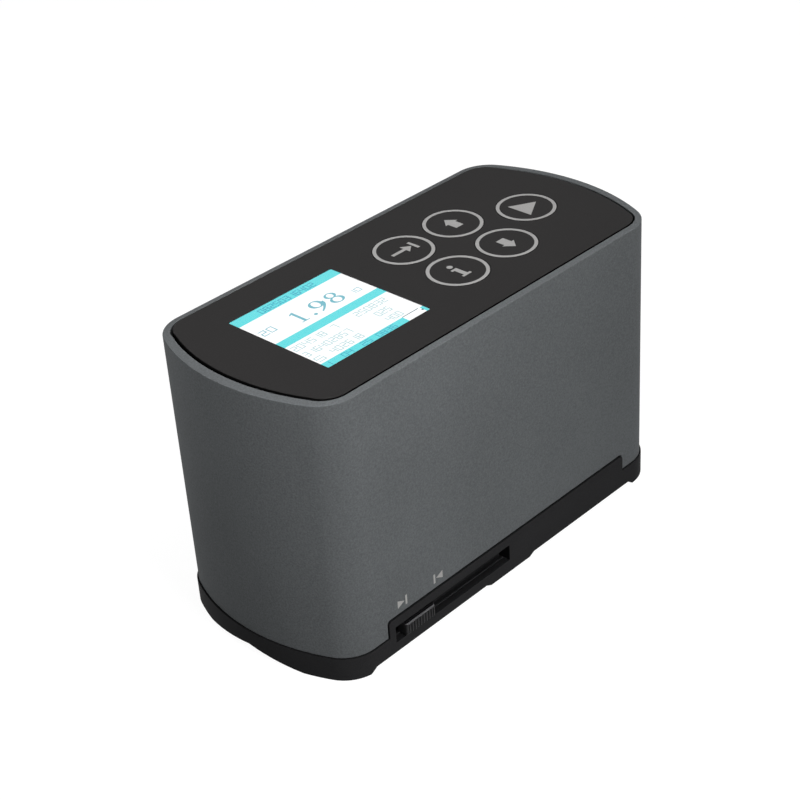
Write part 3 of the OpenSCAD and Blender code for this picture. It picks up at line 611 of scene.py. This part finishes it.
# A satin black that takes a broad faint shine from above, so it reads as dark grey.
satin_black = grained("satin_black_acrylic", "#242323", "#2a2929", grain=0.3 * mm, rough=(0.42, 0.5),
                      bump=0.03, patch=25 * mm, Specular_IOR_Level=0.02)
panel_mesh = mesh_of("panel_plate", *panel_patches, *posts, weld=True)
panel_piece = finish_piece(panel_mesh, "panel_plate", satin_black, "housing", "panel_black", "top_panel")
# Painted shade: the panel's upright edges are near black, so the joint round it shows as a dark line.
joint_painted_shade = grained("black_edge_paint", "#060606", "#0c0c0c", grain=0.3 * mm, rough=(0.7, 0.85), bump=0.1,
                     Specular_IOR_Level=0.01)
also(panel_piece, joint_painted_shade, lambda at, n: np.abs(n[:, 2]) < 0.2)


# Keys: five moulded black caps, flush with the panel, each with a ring and a sign screen-printed in
# light grey. A flange under the panel keeps the cap in, and its stem presses the switch.
key_t = panel_t
flange_t = 0.7 * mm
key_r = 6.55 * mm
flange_r = 7.2 * mm
stem_r = 2 * mm
key_ease = 0.1 * mm
ring_out = 6.43 * mm
ring_in = 5.68 * mm
print_t = 0.015 * mm


def arrow(way):
    """Loop of a block arrow along Y, pointing up or down by the sign of way."""
    half = np.array([[0, 2.45], [1.8, 0.35], [1.1, 0.35], [1.1, -2.0]]) * mm
    loop = np.concatenate([half, half[::-1][:-1] * [-1, 1]])
    return loop * [1, way] if way > 0 else (loop * [1, way])[::-1]


key_signs = {
    "key_menu": [[np.array([[-3.4, -0.4], [0.3, -0.4], [0.3, -1.5], [2.2, 0.0], [0.3, 1.5], [0.3, 0.4],
                            [-3.4, 0.4]]) * mm], [bar(2.5 * mm, -1.6 * mm, 3.2 * mm, 1.6 * mm)]],
    "key_info": [[np.array([[-1.2, -2.7], [1.2, -2.7], [1.2, -2.1], [0.55, -2.1], [0.55, 1.0], [-1.1, 1.0],
                            [-1.1, 0.4], [-0.55, 0.4], [-0.55, -2.1], [-1.2, -2.1]]) * mm],
                 [ring((0, 2.2 * mm), 0.65 * mm, 24)]],
    "key_up": [[arrow(1)]],
    "key_down": [[arrow(-1)]],
    "key_start": [[np.array([[-2.25, -3.2], [3.25, 0.0], [-2.25, 3.2]]) * mm]]}
# The same ink as the guard marks, a shade darker and dry, so the rings stay even under the lamp.
key_print = grained("grey_key_print", "#929190", "#9f9e9d", grain=0.25 * mm, rough=(0.55, 0.7), bump=0.04,
                    Specular_IOR_Level=0.05)
cap_top = panel_high.z
flange_z = cap_top - key_t - flange_t
for node, body in key_nodes.items():
    stem_z = key_boxes[node][0].z
    middle = np.array(key_middles[node])
    turn = np.radians(np.linspace(0, 90, 5))
    edge = np.stack([key_r - key_ease * (1 - np.cos(turn)), cap_top - key_ease * (1 - np.sin(turn))], -1)
    profile = np.concatenate([
        [[0, stem_z], [stem_r, stem_z], [stem_r, flange_z], [flange_r, flange_z],
         [flange_r, cap_top - key_t], [key_r, cap_top - key_t]], edge, [[0, cap_top]]])
    cap = (lathe(profile, middle, 96), grid_faces(96, len(profile), True).tolist())
    cap_mesh = mesh_of(node + "_cap", cap, weld=True)
    finish_piece(cap_mesh, node + "_cap", satin_black, body, "key_black", node)
    loops = [[ring((0, 0), ring_out), ring((0, 0), ring_in)[::-1]], *key_signs[node]]
    printed = [(p + [*middle, cap_top], f) for p, f in slab(loops, -print_t, print_t)]
    finish_piece(mesh_of(node + "_print", *printed), node + "_print", key_print, body, "key_black")


# Display: a colour module bonded to the back of a thin clear front, lit from behind. The picture is
# bands, plain digits and rules, each a thin layer over the white field just under the panel's face.
def lit(name, code, strength=1.0):
    """Backlit picture colour: a dark face that glows, with the faint row pitch of the display's lines."""
    mat, tree, shader, coords = new_material(name)
    lines = add(tree, "TexWave", {"bands_direction": "Y", "Scale": 1 / (1.1 * mm)}, Vector=coords)
    glow = add(tree, "MapRange", {"To_Min": 0.97 * strength, "To_Max": strength},
               Value=lines.outputs["Fac"])
    tree.links.new(glow.outputs["Result"], shader.inputs["Emission Strength"])
    shader.inputs["Base Color"].default_value = linear("#050505")
    shader.inputs["Emission Color"].default_value = linear(code)
    shader.inputs["Roughness"].default_value = 0.6
    shader.inputs["Specular IOR Level"].default_value = 0.02
    return mat


lcd_low, lcd_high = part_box("lcd_module")
screen_l = window_high.x - window_low.x
screen_w = window_high.y - window_low.y
film_t = 0.12 * mm
layer = 0.01 * mm
picture_z = window_high.z - film_t - 5 * layer


def on_screen(rects):
    """Screen fractions (left, top, right, bottom) to loops in the plane of the display."""
    r = np.asarray(rects, float)
    x = window_low.x + r[:, [0, 2]] * screen_l
    y = window_high.y - r[:, [1, 3]] * screen_w
    return [[bar(x0, y1, x1, y0)] for (x0, x1), (y0, y1) in zip(x, y)]


def screen_piece(name, shapes, level, mat):
    """One layer of the picture, that many layers above the display's front."""
    top = picture_z + level * layer
    finish_piece(mesh_of(name, *slab(shapes, top - layer, top)), name, mat, "housing", "lcd_screen")


# Near black all round the picture, so the opening's edge shows as a thin dark line.
lcd_frame = grained("black_lcd_frame", "#0b0b0c", "#121213", grain=0.3 * mm, rough=(0.4, 0.5), bump=0.03)
module_r = 0.5 * mm
module_loop = round_bar(lcd_low.x, lcd_low.y, lcd_high.x, lcd_high.y, module_r)
window_loop = round_bar(window_low.x, window_low.y, window_high.x, window_high.y, window_r)
lcd_blocks = slab([[module_loop]], lcd_low.z, lcd_high.z) + slab([[window_loop]], lcd_high.z, picture_z)
lcd_mesh = mesh_of("lcd_block", *lcd_blocks)
finish_piece(lcd_mesh, "lcd_block", lcd_frame, "housing", "lcd_screen", "lcd_module")

# Colours of a backlit picture: they keep their level whatever light falls on the panel.
screen_piece("screen_field", on_screen([[0, 0, 1, 1]]), 1, lit("screen_white", "#ffffff", 1.4))
screen_piece("screen_bands", on_screen([[0, 0, 1, 0.105], [0, 0.477, 1, 0.569], [0, 0.922, 0.797, 1],
                                        [0.972, 0.922, 1, 1]]), 2, lit("screen_cyan", "#5fe6ec", 1.2))


def number_print(words, height):
    """Small print set as plain numbers: each word is (left, right, middle height, digits), and a fixed
    table says which of seven strokes each digit has. Widths and heights are fractions of the screen."""
    table = {"0": "1011111", "1": "0000011", "2": "1110110", "3": "1110011", "4": "0101011",
             "5": "1111001", "6": "1111101", "7": "1000011", "8": "1111111", "9": "1111011"}
    pen = height * 0.1
    shapes = []
    for left, right, middle, digits in words:
        pitch = (right - left) / (len(digits) - 0.22)
        wide = 0.78 * pitch
        half = height / 2
        strokes = np.array([[0, 0, wide, pen], [0, half - pen / 2, wide, half + pen / 2],
                            [0, height - pen, wide, height], [0, 0, pen, half], [0, half, pen, height],
                            [wide - pen, 0, wide, half], [wide - pen, half, wide, height]])
        for i, digit in enumerate(digits):
            kept = strokes[np.array(list(table[digit])) == "1"]
            shapes.append(kept + [left + i * pitch, middle - half] * 2)
    return np.concatenate(shapes)


small_print = number_print([(0.02, 0.32, 0.636, "204518"), (0.40, 0.44, 0.636, "7"),
                            (0.62, 0.92, 0.636, "250832"), (0.02, 0.455, 0.752, "316402857"),
                            (0.713, 0.846, 0.752, "025"), (0.02, 0.09, 0.863, "5"),
                            (0.168, 0.455, 0.863, "402618"), (0.713, 0.846, 0.863, "400")], 0.07)
label_print = number_print([(0.03, 0.154, 0.303, "20")], 0.078)
unit_print = number_print([(0.82, 0.926, 0.378, "10")], 0.056)
title_print = number_print([(0.24, 0.77, 0.058, "08250316402")], 0.066)
foot_print = number_print([(0.03, 0.06, 0.961, "1"), (0.175, 0.265, 0.961, "04"),
                           (0.357, 0.447, 0.961, "25"), (0.51, 0.69, 0.961, "0836")], 0.052)
screen_piece("screen_small_print", on_screen(small_print), 2, lit("screen_pale", "#b6dfe4", 1.15))
screen_piece("screen_title_print", on_screen(np.concatenate([title_print, foot_print])), 3,
             lit("screen_blue", "#2ea4c8", 1.1))
screen_piece("screen_rule", on_screen([[0.797, 0.918, 0.958, 0.925], [0.96, 0.948, 0.976, 0.966]]), 3,
             lit("screen_dark", "#2a6a78", 1.1))


def stroke_loop(path, half_width):
    """Loop round a pen stroke: the path moved out to each side by the half width at each point."""
    along = np.gradient(path, axis=0)
    side = np.stack([-along[:, 1], along[:, 0]], -1) / np.linalg.norm(along, axis=1, keepdims=True)
    return np.concatenate([path - side * half_width[:, None], (path + side * half_width[:, None])[::-1]])


def oval(centre, size, thick, thin):
    """Two loops of a figure's bowl: an outer ellipse, and an inner one that leaves the sides thick and
    the rest thin."""
    outer = ring((0, 0), 1, 48) * size + centre
    inner = ring((0, 0), 1, 48) * [size[0] - thick, size[1] - thin] + centre
    return [outer, inner[::-1]]


# Large figures: each is a left edge, a width and its loops in a box of one by one.
figure_base = 0.41
figure_h = 0.167
one = np.array([[0.40, 0.0], [0.60, 0.0], [0.60, 0.05], [0.60, 0.06], [0.60, 1.0], [0.50, 1.0],
                [0.22, 0.88], [0.23, 0.83], [0.40, 0.87], [0.40, 0.06], [0.40, 0.05]])
one_foot = np.array([[0.20, 0.0], [0.80, 0.0], [0.80, 0.05], [0.20, 0.05]])
tail_t = np.linspace(0, 1, 24)
nine_tail = np.stack([0.88 - 0.62 * tail_t ** 1.6, 0.70 - 0.67 * tail_t ** 0.8], -1)
figures = [
    (0.305, 0.118, [[one], [one_foot]]),
    (0.404, 0.128, [[ring((0, 0), 1, 24) * [0.12, 0.085] + [0.5, 0.085]]]),
    (0.493, 0.144, [oval([0.47, 0.68], [0.40, 0.32], 0.19, 0.06),
                    [stroke_loop(nine_tail, 0.085 * (1 - 0.7 * tail_t) + 0.012)]]),
    (0.636, 0.153, [oval([0.5, 0.755], [0.32, 0.245], 0.15, 0.06),
                    oval([0.5, 0.28], [0.39, 0.28], 0.17, 0.06)])]
figure_shapes = [[np.stack([window_low.x + (left + loop[:, 0] * width) * screen_l,
                            window_high.y - (figure_base - loop[:, 1] * figure_h) * screen_w], -1)
                  for loop in loops]
                 for left, width, glyph in figures for loops in glyph]
screen_teal = lit("screen_teal", "#78c4d4", 1.15)
screen_piece("screen_figures", figure_shapes, 2, screen_teal)
screen_piece("screen_labels", on_screen(np.concatenate([label_print, unit_print])), 2, screen_teal)

# A clear skin with a trace of haze: the picture shows through it undimmed.
clear_mat, clear_tree, clear_shader, clear_coords = new_material("clear_acrylic_window")
smear = add(clear_tree, "TexNoise", {"Scale": 1 / (9 * mm), "Detail": 3.0}, Vector=clear_coords)
haze = add(clear_tree, "MapRange", {"To_Min": 0.02, "To_Max": 0.07}, Value=smear.outputs["Fac"])
clear_tree.links.new(haze.outputs["Result"], clear_shader.inputs["Roughness"])
clear_shader.inputs["Transmission Weight"].default_value = 1.0
clear_shader.inputs["IOR"].default_value = 1.2
film_ease = 0.03 * mm
film = plate([window_loop], window_high.z - film_t, window_high.z, film_ease)
window_mesh = mesh_of("window_plate", *film, weld=True)
finish_piece(window_mesh, "window_plate", clear_mat, "housing", "window_clear", "display_window")


# Studio: a plain white floor that keeps the tester's shadow, a white surround, one soft lamp from above,
# and two with a grid, which fade to the key end and to the floor: one at the slot's side, one at the end.
def shown_white(tree, strength, dim):
    """Strength of the surround: full where the camera sees it, straight on, in a gloss or through the
    window, and dim where it only lights the scene."""
    path = add(tree, "LightPath")
    seen = add(tree, "Math", {"operation": "MAXIMUM"}, Value=path.outputs["Is Camera Ray"],
               Value_001=path.outputs["Is Glossy Ray"])
    shown = add(tree, "Math", {"operation": "MAXIMUM"}, Value=seen.outputs[0],
                Value_001=path.outputs["Is Transmission Ray"])
    level = add(tree, "MapRange", {"To_Min": dim, "To_Max": strength}, Value=shown.outputs[0])
    return level.outputs["Result"]


world = bpy.data.worlds.new("white_surround")
bpy.context.scene.world = world
world.use_nodes = True
sky = world.node_tree
sky.nodes.clear()
sky_light = add(sky, "Background", {"Color": linear("#ffffff")}, Strength=shown_white(sky, 1.0, 0.15))
add(sky, "OutputWorld", Surface=sky_light.outputs[0])

# White to the eye with a soft shadow, but a dim floor to the tester, so its lower walls stay dark.
floor_mat, floor_tree, floor_shader, floor_coords = new_material("white_floor")
paper = add(floor_tree, "TexNoise", {"Scale": 1 / (3 * mm), "Detail": 2.0}, Vector=floor_coords)
paper_tint = add(floor_tree, "Mix", {"data_type": "RGBA", "A_Color": linear("#5c5c5c"),
                                     "B_Color": linear("#626262")}, Factor_Float=paper.outputs["Fac"])
floor_tree.links.new(paper_tint.outputs[2], floor_shader.inputs["Base Color"])
floor_shader.inputs["Roughness"].default_value = 0.9
floor_shader.inputs["Specular IOR Level"].default_value = 0.0
floor_shader.inputs["Emission Color"].default_value = linear("#ffffff")
floor_tree.links.new(shown_white(floor_tree, 0.95, 0.0), floor_shader.inputs["Emission Strength"])
floor_half = 3.0
floor_z = -0.05 * mm
floor_mesh = bpy.data.meshes.new("floor")
floor_corners = bar(-floor_half, -floor_half, floor_half, floor_half)
floor_mesh.from_pydata(np.column_stack([floor_corners, np.full(4, floor_z)]).tolist(), [], [(0, 1, 2, 3)])
floor_mesh.materials.append(floor_mat)
floor = bpy.data.objects.new("floor", floor_mesh)
bpy.context.scene.collection.objects.link(floor)


def soft_lamp(name, place, aim, size, watts, spread=180):
    """Square area lamp at a place, turned to shine at another. A grid narrows its spread, in degrees."""
    lamp = bpy.data.lights.new(name, "AREA")
    lamp.shape = "SQUARE"
    lamp.size = size
    lamp.energy = watts
    lamp.spread = math.radians(spread)
    holder = bpy.data.objects.new(name, lamp)
    holder.location = place
    holder.rotation_euler = (Vector(aim) - Vector(place)).to_track_quat("-Z", "Y").to_euler()
    bpy.context.scene.collection.objects.link(holder)


soft_lamp("side_lamp", (-0.06, -0.5, 0.36), (-0.085, -0.02, 0.11), 0.25, 0.365, 45)
soft_lamp("top_lamp", (0.15, -0.15, 0.8), (0, 0, 0.03), 0.5, 2.9)
soft_lamp("end_lamp", (-0.29, 0.09, 0.22), (-0.05, 0, 0.085), 0.1, 0.029, 40)


# Camera: where the photograph was taken from, fitted to the outline, the display and the keys.
azimuth = math.radians(-46.0)
elevation = math.radians(32.17)
roll = math.radians(-3.37)
distance = 363.525 * mm
aside = -5.318 * mm
above = -27.555 * mm
frame_px = 800
focal_px = 1816.26
centre_px = (438.89, 408.5)
level_right = Vector((math.cos(azimuth), math.sin(azimuth), 0))
level_back = Vector((math.sin(azimuth), -math.cos(azimuth), 0))
back = level_back * math.cos(elevation) + Vector((0, 0, math.sin(elevation)))
level_up = back.cross(level_right)
right = level_right * math.cos(roll) + level_up * math.sin(roll)
up = level_up * math.cos(roll) - level_right * math.sin(roll)
lens = bpy.data.cameras.new("camera")
lens.sensor_width = 36
lens.lens = lens.sensor_width * focal_px / frame_px
lens.shift_x = (frame_px / 2 - centre_px[0]) / frame_px
lens.shift_y = (centre_px[1] - frame_px / 2) / frame_px
lens.clip_start = 0.01
camera = bpy.data.objects.new("camera", lens)
eye = back * distance - right * aside + up * above + Vector((0, 0, rim_z))
camera.matrix_world = Matrix((right, up, back)).transposed().to_4x4()
camera.location = eye
bpy.context.scene.collection.objects.link(camera)
bpy.context.scene.camera = camera
bpy.context.scene.view_settings.view_transform = "Standard"
